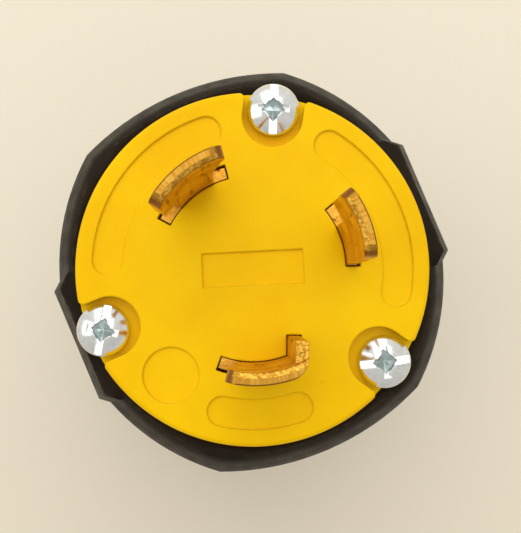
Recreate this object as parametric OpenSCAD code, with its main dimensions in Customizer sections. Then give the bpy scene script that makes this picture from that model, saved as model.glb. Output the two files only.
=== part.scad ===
// Three-blade locking plug of a 30 A shore power cord, for use on campers and boats.
// The cord end stands on z = 0 and the blades point up +Z. Angles run anticlockwise
// from +X, seen from the blades' side.

/* [Housing outline] */
// Radius of the two long side faces of the housing
side_r = 39; // [36:0.5:45]
// Distance of each long side face's centre past the axis
side_off = 10.95; // [8:0.05:12]
// Radius of the four short faces beside the grip pads
flank_r = 33.5; // [32:0.5:38]
// Centre of the short faces past the axis, towards the far pad
flank_off_u = 5.64; // [4:0.02:6]
// Centre of the short faces past the axis, across the pads
flank_off_v = 1.14; // [0.5:0.02:2]
// Angle of the line through both grip pads
pad_turn = 23; // [0:1:45]
// Distance of each grip pad's face from the axis
pad_u = 27.47; // [27:0.01:28]
// Half width of a grip pad's face
pad_half_w = 7.37; // [7:0.01:9.5]
// Drop of a grip pad's bevelled corners towards the side of the housing
pad_foot = 1.29; // [0.8:0.01:2]
// Width of a grip pad's bevelled corners
pad_spread = 1.03; // [0.6:0.01:1.5]
// Amount by which a grip pad's face draws in up to the ledge
pad_inset = 2.07; // [1.5:0.01:2.6]
// Amount by which a grip pad's corners draw in up to the ledge
pad_end_inset = 1.6; // [1:0.1:2.2]
// Length of the slope below a grip pad
pad_drop = 4.5; // [2:0.1:6]
// Height of the plain band below a grip pad's lowest groove
pad_rest = 2; // [1:0.1:3]
// Number of finger grooves across each grip pad
groove_n = 4; // [2:1:4]
// Radius of the finger grooves
groove_r = 0.9; // [0.5:0.1:1.2]
// Distance from one finger groove to the next
groove_pitch = 3.6; // [3:0.1:4]
// Amount by which the outline draws in up to the ledge
ledge_inset = 2.45; // [1.5:0.05:3]
// Height of the tapered band below the ledge
ledge_taper_h = 7; // [4:0.5:8]
// Width of the bevel along the ledge's outer edge
ledge_bevel = 0.7; // [0.2:0.1:1]
// Radius of the waist
waist_r = 21; // [20.5:0.1:23]
// Height of the waist above the cord end
waist_z = 34; // [32:0.5:36]
// Radius of the curve that flares from the waist to the collar
waist_curve_r = 27.8; // [25:0.1:32]
// Radius of the flange behind the waist
flange_r = 23.4; // [22.6:0.1:24.5]

/* [Housing levels] */
// Height of the housing from the cord end to the ledge round the front
housing_h = 73; // [71:0.5:80]
// Height of the section that clamps the cord
clamp_h = 15.5; // [14:0.5:20]
// Depth by which the clamp's bore runs into the flange
entry_relief = 0.5; // [0.3:0.1:1]
// Length of the cord entry bore
entry_len = 5; // [4:0.5:6]
// Radius of the cord entry bore
entry_r = 10.6; // [9:0.1:10.7]
// Depth of the seat that holds the cord seal
seal_seat_h = 2.5; // [2.4:0.1:3]
// Height of the sloped floor of the wiring chamber
wire_floor_h = 2.5; // [2:0.5:4]
// Radius of the wiring chamber
wire_r = 17; // [15.5:0.1:17.5]
// Height of the slope from the wiring chamber to the carrier chamber
wire_taper_h = 7.5; // [7:0.5:9]
// Radius of the chamber that holds the terminal carrier
chamber_r = 21.4; // [21.2:0.05:21.6]
// Depth of the counterbore that holds the front body
seat_depth = 9; // [8.5:0.5:10]

/* [Front body] */
// Radius of the front body
front_r = 24; // [23.8:0.05:24.3]
// Radial clearance of the front body in the housing
front_gap = 0.12; // [0.1:0.01:0.2]
// Height of the front face above the ledge
face_proud = 3; // [2.5:0.1:4]
// Rounding of the front face's rim
rim_round = 0.7; // [0.3:0.1:1]
// Depth of the bare label fields
field_depth = 0.35; // [0.1:0.05:0.5]
// Inner radius of the curved label fields
field_in_r = 17.6; // [17.4:0.05:18.2]
// Outer radius of the curved label fields
field_out_r = 21.7; // [21.2:0.05:22]
// Angles between which the left label field runs
left_field_angles = [103, 182.8]; // [0:0.1:360]
// Angles between which the right label field runs
right_field_angles = [-15.3, 64.3]; // [-90:0.1:90]
// Angles between which the lower label field runs
low_field_angles = [252, 294]; // [0:0.1:360]
// Width of the middle label field
mid_field_w = 13.7; // [12:0.1:15]
// Height of the middle label field
mid_field_h = 4.6; // [3:0.1:6]
// Turn of the middle label field
mid_field_turn = 3; // [0:0.5:6]
// Radius of the round label field
round_field_r = 3.8; // [3:0.1:4.5]
// Distance of the round label field from the axis
round_field_pos_r = 18.12; // [17.5:0.01:19]
// Angle of the round label field
round_field_angle = 232.6; // [220:0.1:240]

/* [Screws that hold the front] */
// Distance of the assembly screws from the axis
screw_pos_r = 21.88; // [21.5:0.02:22]
// Angles of the three assembly screws
screw_angles = [82.7, 202.4, 324.8]; // [0:0.1:360]
// Directions of the three driver slots
slot_dirs = [88, 78, 7.5]; // [0:0.5:180]
// Radius of an assembly screw's shank
screw_r = 1.75; // [1.5:0.05:1.8]
// Radius of an assembly screw's head
head_r = 3.55; // [3.2:0.05:3.6]
// Height of an assembly screw's head
head_h = 3; // [2.6:0.1:3.4]
// Height of the straight side of an assembly screw's head
head_side_h = 1.5; // [1:0.1:2]
// Width of the driver slot
slot_w = 1.1; // [0.9:0.05:1.3]
// Depth of the driver slot
slot_depth = 1.35; // [1:0.05:1.4]
// Half width of the square driver recess
square_half = 1.18; // [1:0.01:1.3]
// Depth of the square driver recess
square_depth = 2; // [1.5:0.1:2.2]
// Half length of the cross wings beside the square
wing_half = 2.15; // [1.8:0.05:2.4]
// Width of the cross wings
wing_w = 0.95; // [0.7:0.05:1.1]
// Depth of the cross wings
wing_depth = 1.65; // [1.4:0.05:1.9]
// Distance of the pockets' centres from the axis
pocket_pos_r = 20.8; // [20.6:0.05:21.3]
// Radius of the screw pockets
pocket_r = 4.14; // [4.05:0.01:4.3]
// Depth of the screw pockets
pocket_depth = 2.2; // [2:0.1:2.9]
// Rounding of the lips where a pocket opens at the rim
lip_r = 0.8; // [0.3:0.1:0.9]
// Thickness of the floor under a screw head
pocket_floor = 2; // [1.5:0.1:2.5]
// Outer radius of the captive screw's retaining ring
ring_r = 2.4; // [2.3:0.05:2.5]
// Thickness of the retaining ring
ring_t = 1.2; // [0.8:0.1:1.4]
// Width of the retaining ring's slit
ring_slit = 0.8; // [0.5:0.1:1.2]
// Depth of the neck that holds the retaining ring
neck = 0.25; // [0.15:0.05:0.3]
// Reach of an assembly screw below the front body
screw_reach = 6.2; // [5.8:0.1:6.8]
// Radius of the screw bosses
boss_r = 4.2; // [4:0.1:4.4]
// Outer radius of the threaded inserts
insert_r = 2.6; // [2.4:0.1:2.8]
// Length of the threaded inserts
insert_len = 7; // [6.5:0.1:7.4]
// Depth of the holes below the threaded inserts
insert_relief = 2; // [1:0.5:3]
// Depth of the inserts below the boss tops
insert_sink = 0.5; // [0.2:0.1:0.6]

/* [Blades] */
// Inner radius of the blades
blade_in_r = 12.64; // [12.5:0.02:12.7]
// Thickness of the blades
blade_t = 1.52; // [1.4:0.02:1.6]
// Height of the blades above the front face
blade_out = 20.5; // [18:0.5:22]
// Gap between a blade and its slot's inner wall
slot_gap_in = 0.12; // [0.1:0.01:0.2]
// Gap between a blade and its slot's outer wall
slot_gap_out = 0.43; // [0.2:0.01:0.5]
// Width of the torn band along the inner edge of a blade's tip
torn_w = 0.62; // [0.3:0.02:0.8]
// Fall of the torn band to the blade's inner face
torn_h = 0.35; // [0.1:0.05:0.6]
// Size of the bevel along the outer edge of a blade's tip
tip_bevel = 0.15; // [0.1:0.05:0.3]
// Radius of the rounded ends of a blade's tip
tip_round_r = 2.4; // [2:0.1:3]
// Angle at which a tip's rounded ends start and stop
tip_round_turn = 20; // [10:1:30]
// Height of the locking notch where it begins
notch_h = 7.8; // [6:0.1:9]
// Rise of the locking notch's ceiling to the blade's end
notch_rise = 2; // [0:0.1:3]
// Height of the straight part of a relieved trailing edge
relief_h = 10; // [6:0.5:12]
// Height of the blade's end that is left between the relief and the tip's rounding
relief_land = 0.5; // [0.3:0.1:1.5]
// Gap between a blade's base and the ends of its slot
slot_gap_end = 0.2; // [0.15:0.05:0.6]
// Angles of the neutral blade: slot from, slot to, tip from, tip to, notch from, relief to
neutral_angles = [105.1, 152.7, 106.3, 150.9, 141, 114.2]; // [0:0.1:360]
// Angles of the hot blade: slot from, slot to, tip from, tip to, notch from
hot_angles = [1, 39.4, 2.5, 38.4, 27.4]; // [0:0.1:360]
// Angles of the ground blade: slot from, root to, tip from, relief to
ground_angles = [249.9, 290.5, 255.7, 259.8]; // [0:0.1:360]

/* [Ground blade hook] */
// Distance of the hook's inner face from the axis, along X
hook_x = 4.62; // [4.4:0.02:4.9]
// Distance of the hook's end from the axis, along Y
hook_y = 9.05; // [8.8:0.05:9.6]
// Outer radius of the hook's bend
hook_bend_r = 2.6; // [2:0.1:3]

/* [Terminals] */
// Height of the terminal carrier
carrier_h = 16; // [15:0.5:16]
// Radius of the terminal carrier
carrier_r = 21; // [20.6:0.05:21.05]
// Gap between the carrier and the slope under it
carrier_gap = 0.5; // [0.3:0.1:1]
// Thickness of the carrier's floor
carrier_floor = 1.8; // [1.2:0.1:2]
// Height of the terminal screws above the carrier's underside
term_z = 7.75; // [7.2:0.05:8.2]
// Radius of a terminal screw's shank
term_screw_r = 1.9; // [1.7:0.05:2]
// Radius of a terminal screw's head
term_head_r = 3.8; // [3.4:0.1:3.9]
// Height of a terminal screw's head
term_head_h = 2.6; // [2:0.1:3]
// Width of a terminal clamp plate
plate_w = 8; // [7:0.1:8.4]
// Thickness of a terminal clamp plate
plate_t = 1.6; // [1.2:0.1:2]
// Distance of an open terminal clamp plate from the axis
plate_in = 7.3; // [7.2:0.1:7.6]
// Radius of the wire holes
wire_hole_r = 1.8; // [1.5:0.1:1.85]
// Radius of the bores that reach the terminal screws
access_r = 4.2; // [4.1:0.1:4.4]
// Width that a blade's root adds on each side
root_extra = 0.5; // [0.4:0.05:0.7]
// Side play of a terminal clamp plate in its chamber
plate_play = 0.5; // [0.3:0.1:0.6]
// Angles of the two carrier screws
carrier_screw_angles = [51, 236]; // [0:0.5:360]
// Distance of the carrier screws from the axis
carrier_screw_pos_r = 17.4; // [17.2:0.1:17.8]
// Radius of a carrier screw's shank
carrier_screw_r = 1.3; // [1.2:0.05:1.5]
// Radius of a carrier screw's head
carrier_head_r = 2.3; // [2:0.1:2.5]
// Height of a carrier screw's head
carrier_head_h = 2; // [1.5:0.1:2.4]
// Depth of a carrier screw's head in the carrier
carrier_head_sink = 1; // [0.5:0.1:1.5]
// Reach of a carrier screw into the front body
carrier_screw_reach = 5.5; // [4.5:0.1:6]
// Width of the slots in the small screws
small_slot_w = 1.2; // [0.8:0.1:1.4]
// Depth of the slots in the small screws
small_slot_depth = 1.1; // [0.8:0.1:1.3]

/* [Cord clamp and seal] */
// Outer radius of the clamp section
clamp_r = 22; // [21.6:0.1:22.4]
// Distance of the clamp's outer flats from the axis
clamp_flat = 17.5; // [16:0.1:18.5]
// Radius of the clamp's bore between the teeth
clamp_bore_r = 11.5; // [11.3:0.1:11.8]
// Height of the clamp's teeth
tooth_h = 0.7; // [0.4:0.05:0.7]
// Number of teeth along the clamp's bore
tooth_n = 4; // [3:1:5]
// Half of the gap between the cradle and the closed saddle
cradle_split = 1.8; // [1.4:0.1:2]
// Gap between the saddle and the cradle with no cord in it
saddle_gap = 4.4; // [4.3:0.1:4.8]
// Gap between the saddle's top and the flange
saddle_top_gap = 0.4; // [0.3:0.05:0.6]
// Distance of the clamp screws from the axis
clamp_screw_x = 15.5; // [15.2:0.1:15.8]
// Radius of a clamp screw's shank
clamp_screw_r = 2.1; // [1.9:0.05:2.2]
// Radius of a clamp screw's head
clamp_head_r = 3.6; // [3.4:0.1:3.8]
// Height of a clamp screw's head
clamp_head_h = 2.6; // [2:0.1:3]
// Thickness of the saddle under a clamp screw's head
saddle_ear = 4.6; // [4:0.1:5]
// Length of a clamp screw's shank
clamp_screw_len = 20; // [19:0.5:21]
// Width of the square nuts
nut_w = 7; // [6.5:0.1:7.2]
// Thickness of the square nuts
nut_t = 3; // [2.5:0.1:3.2]
// Depth of the nuts' seats behind the cradle's split face
nut_seat = 6.2; // [6:0.1:6.6]
// Outer radius of the cord seal
seal_r = 13.8; // [13.4:0.1:14.2]
// Radius of the cord seal's hole
seal_hole_r = 6; // [5:0.1:7]
// Thickness of the cord seal
seal_t = 2; // [1.5:0.1:2.2]

/* [Fits] */
// Radial clearance of a shank that turns in its hole
run_gap = 0.07; // [0.05:0.01:0.1]
// Clearance of a piece that is laid in its pocket
lay_gap = 0.1; // [0.05:0.01:0.15]
// Clearance round a piece that moves past another
free_gap = 0.3; // [0.25:0.05:0.4]
// Clearance under a terminal screw's head
head_gap = 0.04; // [0.02:0.01:0.06]

/* [Hidden] */
$fn = 96;
eps = 0.01;
over = 1;

// Levels, upwards from the cord end
z_entry = clamp_h;
z_seal = z_entry + entry_relief + entry_len;
z_wire = z_seal + seal_seat_h + wire_floor_h;
z_ledge = housing_h;
z_seat = z_ledge - seat_depth;
z_carrier = z_seat - carrier_h;
z_chamber = z_carrier - carrier_gap;
z_wire_top = z_chamber - wire_taper_h;
z_wide = z_ledge - ledge_taper_h;
z_face = z_ledge + face_proud;
z_tip = z_face + blade_out;
z_pocket = z_face - pocket_depth;
z_channel = z_pocket - pocket_floor;
z_term = z_carrier + term_z;
z_root = z_carrier + carrier_floor;

// Blades
blade_out_r = blade_in_r + blade_t;
slot_in_r = blade_in_r - slot_gap_in;
slot_out_r = blade_out_r + slot_gap_out;
deg_per_mm = 180 / (PI * (blade_in_r + blade_t / 2));
slot_end_turn = slot_gap_end * deg_per_mm;
root_turn = root_extra * deg_per_mm;
tip_drop = tip_round_r * (cos(tip_round_turn) - sin(tip_round_turn));
term_angles = [for (b = [neutral_angles, hot_angles, ground_angles]) (b[0] + b[1]) / 2];

// Fits of the terminals
plate_out = plate_in + plate_t;
wire_pos_r = (plate_out + blade_in_r) / 2;
term_tip_r = plate_in - 1;
chamber_half_w = plate_w / 2 + plate_play;

// Colours
yellow = [0.96, 0.77, 0];
black = [0.16, 0.15, 0.14];
gold = [0.78, 0.55, 0.2];
zinc = [0.85, 0.87, 0.85];
grey = [0.35, 0.34, 0.33];

// A tube's sector between two angles and two radii
module sector(a0, a1, r0, r1, z0, z1) {
    rotate([0, 0, a0])
        rotate_extrude(angle = a1 - a0)
            translate([r0, z0])
                square([r1 - r0, z1 - z0]);
}

// A flat shape in the plane across the radius at angle a, cut along the radius
module radial_cut(a, r0, r1) {
    rotate([0, 0, a])
        rotate([90, 0, 90])
            translate([0, 0, r0])
                linear_extrude(r1 - r0)
                    children();
}

// A cylinder along the radius at angle a and height z
module radial_rod(a, z, r, r0, r1) {
    rotate([0, 0, a])
        translate([r0, 0, z])
            rotate([0, 90, 0])
                cylinder(r = r, h = r1 - r0);
}

// Places children at each assembly screw
module at_screw(i, pos_r = screw_pos_r) {
    rotate([0, 0, screw_angles[i]])
        translate([pos_r, 0, 0])
            children();
}

// ---- Front body ----

// The front body's turned form with a rounded rim
module front_turned() {
    rotate_extrude()
        difference() {
            translate([0, z_seat])
                square([front_r, z_face - z_seat]);
            translate([front_r - rim_round, z_face - rim_round])
                difference() {
                    square(rim_round + over);
                    circle(rim_round);
                }
        }
}

// The slot outline of the hooked blade, also used for the blade with no gap
module hook_outline(gap_in, gap_out, a0, end_gap) {
    r_in = blade_in_r - gap_in;
    r_out = blade_out_r + gap_out;
    x_in = hook_x - gap_in;
    x_out = hook_x + blade_t + gap_out;
    bend = hook_bend_r + gap_out;
    bend_x = x_out - bend;
    bend_y = -sqrt(pow(r_out - bend, 2) - pow(bend_x, 2));
    bend_a = atan2(bend_y, bend_x);
    difference() {
        intersection() {
            circle(r_out);
            // from the blade's start to the hook's outer face
            polygon([[0, 0], [2 * r_out * cos(a0), 2 * r_out * sin(a0)],
                [x_out, -2 * r_out], [x_out, -hook_y + end_gap], [0, -hook_y + end_gap]]);
        }
        // inside of the arc, up to the hook
        intersection() {
            circle(r_in);
            translate([-2 * r_out, -2 * r_out])
                square([2 * r_out + x_in, 4 * r_out]);
        }
        // outside of the bend
        difference() {
            polygon([[bend_x, bend_y], [x_out + over, bend_y], [x_out + over, -2 * r_out],
                [bend_x + 2 * bend * cos(bend_a), bend_y + 2 * bend * sin(bend_a)]]);
            translate([bend_x, bend_y])
                circle(bend);
        }
    }
}

// A curved label field with round ends, its floor on z = 0
module arc_field(angles) {
    half = (field_out_r - field_in_r) / 2;
    mid = (field_in_r + field_out_r) / 2;
    inset = half * 180 / (PI * mid);
    rotate([0, 0, angles[0] + inset])
        rotate_extrude(angle = angles[1] - angles[0] - 2 * inset)
            translate([field_in_r, 0])
                square([field_out_r - field_in_r, over]);
    for (a = [angles[0] + inset, angles[1] - inset])
        rotate([0, 0, a])
            translate([mid, 0, 0])
                cylinder(r = half, h = over);
}

// All label fields, left bare
module label_fields() {
    translate([0, 0, z_face - field_depth]) {
        for (angles = [left_field_angles, right_field_angles, low_field_angles])
            arc_field(angles);
        rotate([0, 0, mid_field_turn])
            translate([-mid_field_w / 2, -mid_field_h / 2, 0])
                cube([mid_field_w, mid_field_h, over]);
        rotate([0, 0, round_field_angle])
            translate([round_field_pos_r, 0, 0])
                cylinder(r = round_field_r, h = over);
    }
}

// A screw pocket seen from above: round, open at the rim, with rounded lips. Its circle's
// centre is the origin, and +X points away from the axis.
module pocket_outline() {
    lip_y = pocket_r + lip_r;
    lip_x = sqrt(pow(front_r - lip_r, 2) - pow(lip_y, 2));
    reach = 3 * lip_r / (front_r - lip_r);
    circle(pocket_r);
    translate([0, -pocket_r])
        square([front_r - pocket_pos_r + over, 2 * pocket_r]);
    for (side = [0, 1])
        mirror([0, side])
            translate([-pocket_pos_r, 0])
                difference() {
                    polygon([[lip_x, pocket_r - over], [lip_x, lip_y], [lip_x * (1 + reach), lip_y * (1 + reach)],
                        [lip_x * (1 + reach), pocket_r - over]]);
                    translate([lip_x, lip_y])
                        circle(lip_r);
                }
}

module front_body() {
    color(yellow)
        difference() {
            front_turned();
            for (b = [neutral_angles, hot_angles])
                sector(b[0], b[1], slot_in_r, slot_out_r, z_seat - over, z_face + over);
            translate([0, 0, z_seat - over])
                linear_extrude(z_face - z_seat + 2 * over)
                    hook_outline(slot_gap_in, slot_gap_out, ground_angles[0], slot_gap_in);
            for (i = [0:2]) {
                at_screw(i, pocket_pos_r)
                    translate([0, 0, z_pocket])
                        linear_extrude(pocket_depth + over)
                            pocket_outline();
                at_screw(i) {
                    translate([0, 0, z_seat - over])
                        cylinder(r = screw_r + run_gap, h = seat_depth + over + over);
                    translate([0, 0, z_seat - over])
                        cylinder(r = ring_r + lay_gap, h = z_channel - z_seat + over);
                }
            }
            label_fields();
            for (a = carrier_screw_angles)
                rotate([0, 0, a])
                    translate([carrier_screw_pos_r, 0, z_seat - over])
                        cylinder(r = carrier_screw_r + run_gap, h = carrier_screw_reach + 2 * over);
        }
}

// ---- Housing ----

// One turned side of the housing with its centre past the axis
module side_body(r, u, v) {
    translate([u, v, 0])
        rotate_extrude()
            polygon([[0, z_entry], [r, z_entry], [r, z_wide], [r - ledge_inset, z_ledge - ledge_bevel],
                [r - ledge_inset - ledge_bevel, z_ledge], [0, z_ledge]]);
}

// Where the six turned sides and the two pad planes all hold
module collar_core() {
    intersection() {
        side_body(side_r, 0, side_off);
        side_body(side_r, 0, -side_off);
        side_body(flank_r, flank_off_u, flank_off_v);
        side_body(flank_r, flank_off_u, -flank_off_v);
        side_body(flank_r, -flank_off_u, flank_off_v);
        side_body(flank_r, -flank_off_u, -flank_off_v);
        rotate([90, 0, 0])
            linear_extrude(2 * side_r, center = true)
                polygon([[-pad_u, z_entry], [pad_u, z_entry], [pad_u, z_wide],
                    [pad_u - pad_inset, z_ledge], [pad_inset - pad_u, z_ledge], [-pad_u, z_wide]]);
    }
}

// One grip pad, with finger grooves across it
module grip_pad() {
    low = z_wide - groove_n * groove_pitch - pad_rest / 2;
    foot = low - pad_drop;
    half_foot = pad_half_w + 2 * pad_spread;
    corner_turn = atan2(pad_foot, pad_spread);
    corner_off = pad_u * cos(corner_turn) + pad_half_w * sin(corner_turn);
    difference() {
        intersection() {
            // seen along the plug
            translate([waist_r, -half_foot, foot])
                cube([pad_u + over - waist_r, 2 * half_foot, z_ledge - foot]);
            // seen across the plug
            rotate([90, 0, 0])
                linear_extrude(2 * side_r, center = true)
                    polygon([[0, foot - over], [pad_u - pad_drop - over, foot - over], [pad_u, low],
                        [pad_u, z_wide], [pad_u - pad_inset, z_ledge],
                        [pad_u - pad_inset, z_ledge + over], [0, z_ledge + over]]);
            // the bevelled corners, which draw in as they rise
            for (side = [-1, 1])
                rotate([90, 0, side * corner_turn])
                    linear_extrude(4 * side_r, center = true)
                        polygon([[-side_r, foot - over], [corner_off, foot - over], [corner_off, z_wide],
                            [corner_off - pad_end_inset, z_ledge],
                            [corner_off - pad_end_inset, z_ledge + over], [-side_r, z_ledge + over]]);
        }
        for (k = [0:groove_n - 1])
            translate([pad_u + groove_r / 5, 0, low + pad_rest / 2 + k * groove_pitch])
                rotate([90, 0, 0])
                    cylinder(r = groove_r, h = 2 * side_r, center = true, $fn = 32);
    }
}

// The turned outside with flange, waist and flare
module outside_turned() {
    rotate_extrude()
        difference() {
            union() {
                translate([0, z_entry])
                    square([flange_r, waist_z - z_entry]);
                translate([0, waist_z])
                    square([side_r, z_ledge - waist_z]);
            }
            translate([waist_r + waist_curve_r, waist_z])
                circle(waist_curve_r);
            // clears what the curve leaves under the collar
            translate([waist_r + waist_curve_r / 2, waist_z - over])
                square([side_r, over + waist_curve_r * 0.55]);
        }
}

// The clamp section's outer form between two heights along Y
module clamp_block(y0, y1, z1) {
    intersection() {
        cylinder(r = clamp_r, h = z1);
        translate([-clamp_r - over, y0, 0])
            cube([2 * clamp_r + 2 * over, y1 - y0, z1]);
    }
}

// The toothed bore of the clamp
module clamp_bore() {
    pitch = clamp_h / tooth_n;
    difference() {
        translate([0, 0, -over])
            cylinder(r = clamp_bore_r, h = clamp_h + entry_relief + over);
        for (k = [0:tooth_n - 1])
            rotate_extrude()
                polygon([[clamp_bore_r + over, pitch * (k + 0.5) + tooth_h + over],
                    [clamp_bore_r - tooth_h, pitch * (k + 0.5)],
                    [clamp_bore_r + over, pitch * (k + 0.5) - tooth_h - over]]);
    }
}

// The counterbore that holds the front body
module counterbore() {
    translate([0, 0, z_seat])
        cylinder(r = front_r + front_gap, h = seat_depth + over);
}

// The hollow behind the front body, with the screw bosses left standing
module hollow() {
    difference() {
        rotate_extrude()
            polygon([[0, z_entry - over], [entry_r, z_entry - over], [entry_r, z_seal],
                [seal_r + lay_gap, z_seal], [seal_r + lay_gap, z_seal + seal_seat_h],
                [wire_r, z_wire], [wire_r, z_wire_top], [chamber_r, z_chamber],
                [chamber_r, z_seat + over], [0, z_seat + over]]);
        for (i = [0:2])
            at_screw(i)
                translate([0, 0, z_wire_top])
                    cylinder(r = boss_r, h = z_seat - z_wire_top + 2 * over);
    }
}

module housing() {
    insert_top = z_seat - insert_sink;
    insert_low = insert_top - insert_len;
    color(black)
        difference() {
            union() {
                rotate([0, 0, pad_turn]) {
                    intersection() {
                        collar_core();
                        outside_turned();
                    }
                    for (side = [0, 180])
                        rotate([0, 0, side])
                            grip_pad();
                }
                clamp_block(-clamp_flat, -cradle_split, z_entry + over);
            }
            counterbore();
            hollow();
            clamp_bore();
            for (i = [0:2])
                at_screw(i) {
                    translate([0, 0, z_seat])
                        cylinder(r = ring_r + lay_gap, h = seat_depth + over);
                    translate([0, 0, insert_low])
                        cylinder(r = insert_r, h = insert_len + over);
                    translate([0, 0, insert_low - insert_relief])
                        cylinder(r = screw_r + free_gap, h = insert_relief + over);
                }
            for (x = [-clamp_screw_x, clamp_screw_x]) {
                translate([x, 0, clamp_h / 2])
                    rotate([90, 0, 0])
                        cylinder(r = clamp_screw_r + run_gap, h = clamp_r);
                translate([x - nut_w / 2 - lay_gap, -clamp_r, clamp_h / 2 - nut_w / 2 - lay_gap])
                    cube([nut_w + 2 * lay_gap, clamp_r - cradle_split - nut_seat, nut_w + 2 * lay_gap]);
            }
        }
}

// ---- Blades ----

// A clean cut through a blade's thickness between two angles and two levels
module angle_cut(a0, a1, z0, z1) {
    sector(a0, a1, blade_in_r - over, blade_out_r + over, z0, z1);
}

// The torn band and the bevel along a blade's tip, for every angle
module tip_bands() {
    rotate_extrude() {
        polygon([[blade_out_r - tip_bevel, z_tip + eps], [blade_out_r - tip_bevel, z_tip],
            [blade_out_r, z_tip - tip_bevel], [blade_out_r + over, z_tip - tip_bevel],
            [blade_out_r + over, z_tip + eps]]);
        polygon([[blade_in_r + torn_w, z_tip + eps], [blade_in_r - over, z_tip + eps],
            [blade_in_r - over, z_tip - torn_h], [blade_in_r, z_tip - torn_h],
            [blade_in_r + torn_w, z_tip]]);
    }
}

// A rounded end of a tip: side is 1 at the anticlockwise end and -1 at the clockwise end
module tip_round(a, side) {
    off = tip_round_r * cos(tip_round_turn);
    radial_cut(a, blade_in_r - over, blade_out_r + over)
        mirror([side < 0 ? 1 : 0, 0])
            translate([-off, z_tip - off])
                difference() {
                    square(tip_round_r + over);
                    circle(tip_round_r);
                }
}

// Clears a blade's end above the face, from a_end on, with the locking notch back to angle a
module lock_notch(a, a_end) {
    len = (a_end - a) / deg_per_mm;
    past = blade_t * 2;
    radial_cut(a_end, blade_in_r - over, blade_out_r + over)
        polygon([[past, z_face], [-len, z_face], [-len, z_face + notch_h],
            [0, z_face + notch_h + notch_rise], [0, z_tip + over], [past, z_tip + over]]);
}

// Clears a blade's start above the face, up to a_end, and relieves its edge back to angle a
module edge_relief(a_end, a) {
    len = (a - a_end) / deg_per_mm;
    top = z_tip - tip_drop - relief_land;
    past = blade_t * 2;
    radial_cut(a_end, blade_in_r - over, blade_out_r + over)
        polygon([[-past, z_face], [len, z_face], [len, z_face + relief_h],
            [0, top], [0, z_tip + over], [-past, z_tip + over]]);
}

// A plain curved blade from root to tip, with the hole for its terminal screw at angle a.
// Its other edge is relieved where its angles say how far.
module curved_blade(b, a) {
    root0 = b[0] - root_turn;
    root1 = b[1] + root_turn;
    difference() {
        rotate([0, 0, root0])
            rotate_extrude(angle = root1 - root0)
                polygon([[blade_in_r, z_root], [blade_out_r, z_root],
                    [blade_out_r, z_tip - tip_bevel], [blade_out_r - tip_bevel, z_tip],
                    [blade_in_r + torn_w, z_tip], [blade_in_r, z_tip - torn_h]]);
        // the root's shoulders under the front body
        angle_cut(root0 - root_turn, b[0] + slot_end_turn, z_seat - lay_gap, z_tip + over);
        angle_cut(b[1] - slot_end_turn, root1 + root_turn, z_seat - lay_gap, z_tip + over);
        // the base's shoulder in the slot, plain or with the edge relieved
        if (len(b) > 5)
            edge_relief(b[2], b[5]);
        else
            angle_cut(root0 - root_turn, b[2], z_face, z_tip + over);
        lock_notch(b[4], b[3]);
        tip_round(b[3], 1);
        tip_round(b[2], -1);
        radial_rod(a, z_term, term_screw_r + run_gap, blade_in_r - over, blade_out_r + over);
    }
}

module blade_neutral() {
    color(gold)
        curved_blade(neutral_angles, term_angles[0]);
}

module blade_hot() {
    color(gold)
        curved_blade(hot_angles, term_angles[1]);
}

module blade_ground() {
    b = ground_angles;
    root0 = b[0] - root_turn;
    color(gold)
        difference() {
            translate([0, 0, z_root])
                linear_extrude(z_tip - z_root)
                    hook_outline(0, 0, root0, 0);
            angle_cut(root0 - root_turn, b[0] + slot_end_turn, z_seat - lay_gap, z_tip + over);
            // the hook ends at the front body's underside
            sector(b[1], b[1] + 50, hook_y / 2, blade_out_r + over, z_root - over, z_seat - lay_gap);
            tip_bands();
            tip_round(b[2], -1);
            edge_relief(b[2], b[3]);
            radial_rod(term_angles[2], z_term, term_screw_r + run_gap, blade_in_r - over, blade_out_r + over);
        }
}

// ---- Terminals ----

// A terminal screw along the radius at angle a
module terminal_screw(a) {
    seat = blade_out_r + head_gap;
    difference() {
        union() {
            radial_rod(a, z_term, term_screw_r, term_tip_r, seat + eps);
            radial_rod(a, z_term, term_head_r, seat, seat + term_head_h);
        }
        rotate([0, 0, a])
            translate([seat + term_head_h - small_slot_depth, -small_slot_w / 2, z_term - term_head_r - over])
                cube([small_slot_depth + over, small_slot_w, 2 * (term_head_r + over)]);
    }
}

// A terminal clamp plate at angle a
module terminal_clamp(a) {
    difference() {
        rotate([0, 0, a])
            translate([plate_in, -plate_w / 2, z_term - plate_w / 2])
                cube([plate_t, plate_w, plate_w]);
        radial_rod(a, z_term, term_screw_r + run_gap, plate_in - over, plate_out + over);
    }
}

module terminal_screw_neutral() {
    color(zinc)
        terminal_screw(term_angles[0]);
}

module terminal_screw_hot() {
    color(gold)
        terminal_screw(term_angles[1]);
}

module terminal_screw_ground() {
    color([0.25, 0.5, 0.3])
        terminal_screw(term_angles[2]);
}

module terminal_clamp_neutral() {
    color(gold)
        terminal_clamp(term_angles[0]);
}

module terminal_clamp_hot() {
    color(gold)
        terminal_clamp(term_angles[1]);
}

module terminal_clamp_ground() {
    color(gold)
        terminal_clamp(term_angles[2]);
}

// The recesses of one terminal in the carrier
module terminal_pocket(b, a) {
    turn = root_turn + 2 * lay_gap * deg_per_mm;
    sector(b[0] - turn, b[1] + turn, blade_in_r - lay_gap, blade_out_r + lay_gap, z_root - lay_gap, z_seat + over);
    rotate([0, 0, a]) {
        translate([term_tip_r - free_gap, -chamber_half_w, z_term - plate_w / 2 - free_gap])
            cube([blade_in_r - term_tip_r + free_gap, 2 * chamber_half_w, plate_w + 2 * free_gap]);
        translate([wire_pos_r, 0, z_carrier - over])
            cylinder(r = wire_hole_r, h = z_term - z_carrier);
    }
    radial_rod(a, z_term, access_r, blade_out_r, carrier_r + over);
}

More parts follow.
